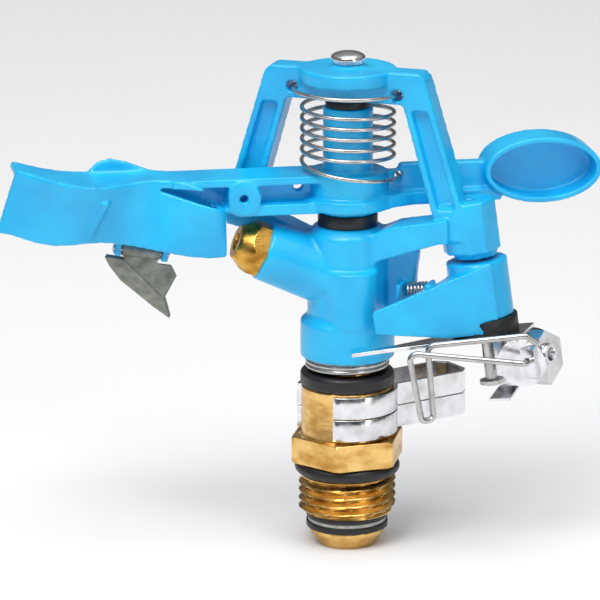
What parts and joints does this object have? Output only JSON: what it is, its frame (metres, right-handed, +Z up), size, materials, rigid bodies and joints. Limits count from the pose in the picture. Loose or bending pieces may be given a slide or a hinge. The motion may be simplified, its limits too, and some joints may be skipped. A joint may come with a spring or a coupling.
{
  "type": "impact sprinkler",
  "caption": "Part-circle impact sprinkler head: a sprung hammer arm under a bridge, an angled nozzle, a trip lever with wire, and stop collars on a male threaded bearing nut.",
  "frame": {"origin": "on the axis of the inlet thread, at the thread's lower end", "axes": "+Z up the riser axis, -X the way the nozzle and the arm's spoon point, +X the counterweight, -Y the side the trip wire is on"},
  "size_m": [0.1285, 0.0404, 0.1083],
  "materials": {
    "blue_paint": "glossy",
    "brass": "machined",
    "bright_steel": "bright",
    "spring_steel": "drawn wire",
    "black_rubber": "satin",
    "pale_plastic": "matte",
    "flap_grey": "matte"
  },
  "bodies": {
    "base": {"bearing_nut": "brass", "riser_gasket": "black_rubber", "neck_ring": "black_rubber"},
    "head": {"inner_tube": "brass", "nose_washer_upper": "black_rubber", "friction_washer": "pale_plastic", "nose_washer_lower": "black_rubber", "bearing_spring": "spring_steel", "body_casting": "blue_paint", "nozzle": "brass", "fulcrum_pin": "bright_steel", "hub_washer": "black_rubber", "top_washer": "black_rubber", "trip_pin": "bright_steel", "trip_clip": "bright_steel", "trip_spring": "spring_steel", "arm_spring": "spring_steel"},
    "arm": {"hammer_arm": "blue_paint", "arm_bush": "pale_plastic", "flap_pin": "bright_steel"},
    "flap": {"deflector_flap": "flap_grey"},
    "trip": {"trip_lever": "blue_paint", "trip_spacer": "black_rubber", "trip_plate": "bright_steel", "wire_block": "bright_steel", "block_screw": "bright_steel", "block_bracket": "bright_steel"},
    "wire": {"trip_wire": "bright_steel"},
    "upper_collar": {"collar_upper": "bright_steel"},
    "lower_collar": {"collar_lower": "bright_steel"}
  },
  "joints": [
    {"name": "head_rotation", "type": "hinge", "parent": "base", "child": "head", "pos_m": [0, 0, 0], "axis": [0, 0, 1], "range_deg": [-250, 50]},
    {"name": "arm_swing", "type": "hinge", "parent": "head", "child": "arm", "pos_m": [0, 0, 0.066], "axis": [0, 0, 1], "range_deg": [0, 110], "stiffness_Nm_per_rad": 0.05, "springref_deg": -28.65, "deforming": ["arm_spring"]},
    {"name": "flap_tilt", "type": "hinge", "parent": "arm", "child": "flap", "pos_m": [-0.0443, 0.001, 0.059], "axis": [0.9851, 0, -0.1719], "range_deg": [-15, 30]},
    {"name": "trip_toggle", "type": "hinge", "parent": "head", "child": "trip", "pos_m": [0.02578, -0.01031, 0.0574], "axis": [-0.1229, 0.0653, 0.9903], "range_deg": [0, 16], "stiffness_Nm_per_rad": 0.02, "springref_deg": -11.46, "deforming": ["trip_spring"]},
    {"name": "wire_flip", "type": "hinge", "parent": "trip", "child": "wire", "pos_m": [0.03598, -0.01573, 0.03702], "axis": [0.2272, 0.9732, -0.036], "range_deg": [0, 60]},
    {"name": "upper_collar_turn", "type": "hinge", "parent": "base", "child": "upper_collar", "pos_m": [0, 0, 0.0254], "axis": [0, 0, 1], "range_deg": [-55, 250]},
    {"name": "lower_collar_turn", "type": "hinge", "parent": "base", "child": "lower_collar", "pos_m": [0, 0, 0.0204], "axis": [0, 0, 1], "range_deg": [-55, 250]}
  ]
}
